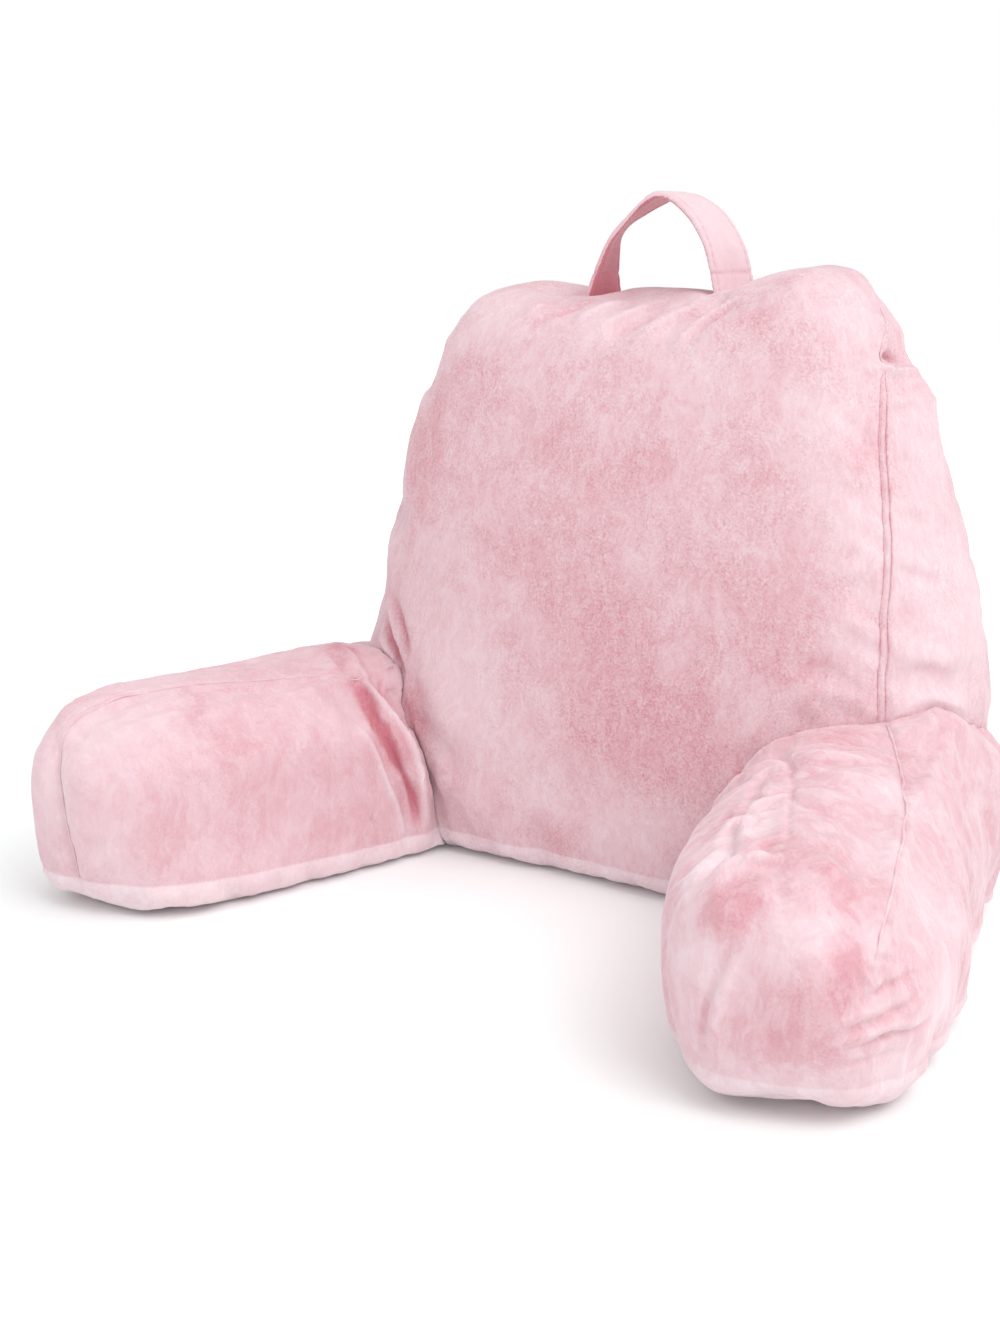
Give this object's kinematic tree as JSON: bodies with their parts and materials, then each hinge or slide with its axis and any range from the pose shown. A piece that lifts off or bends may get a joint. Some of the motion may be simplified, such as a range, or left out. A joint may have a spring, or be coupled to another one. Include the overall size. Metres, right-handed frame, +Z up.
{
  "type": "reading pillow with arms",
  "caption": "Plush reading pillow: a tall filled back cushion with two forward-reaching filled arms and a flat carrying loop on top.",
  "frame": {"origin": "on the floor, under the middle of the whole pillow's outer box", "axes": "+Z up, +X to the right in the front view, the sitter looks towards -Y and leans back towards +Y"},
  "size_m": [0.692, 0.5152, 0.5242],
  "materials": {
    "plush": "short-pile blush pink plush with a brushed, shaded nap",
    "loop_cloth": "the same plush folded into a stitched flat band"
  },
  "bodies": {
    "root": {"backrest": "plush", "arm_left": "plush", "arm_right": "plush", "handle": "loop_cloth"}
  },
  "joints": []
}
